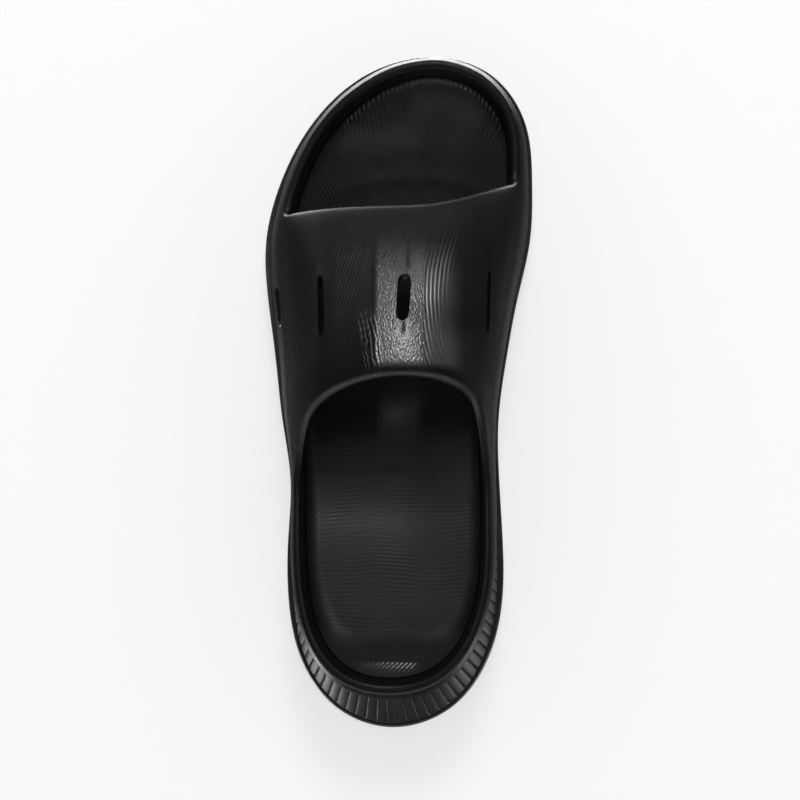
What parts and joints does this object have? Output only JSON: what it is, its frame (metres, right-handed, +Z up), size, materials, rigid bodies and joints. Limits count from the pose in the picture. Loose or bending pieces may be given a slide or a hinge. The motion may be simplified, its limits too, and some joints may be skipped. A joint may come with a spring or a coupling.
{
  "type": "sport slide sandal",
  "caption": "Left slide sandal of moulded foam: ribbed heel wall, cupped footbed, raised rim and one wide vented strap open at the toe and the heel.",
  "frame": {"origin": "on the floor, below the middle of the sandal's box", "axes": "+Z up, +Y from the heel to the toe, +X towards the inner side of the left foot"},
  "size_m": [0.1214, 0.3016, 0.0935],
  "materials": {
    "tread_foam": "matt black foam",
    "midsole_foam": "satin black moulded foam with ribs",
    "footbed_foam": "satin black moulded foam with fine wavy grooves",
    "upper_foam": "satin black moulded foam with fine grain"
  },
  "bodies": {
    "root": {"outsole": "tread_foam", "midsole": "midsole_foam", "footbed": "footbed_foam", "upper": "upper_foam"}
  },
  "joints": []
}
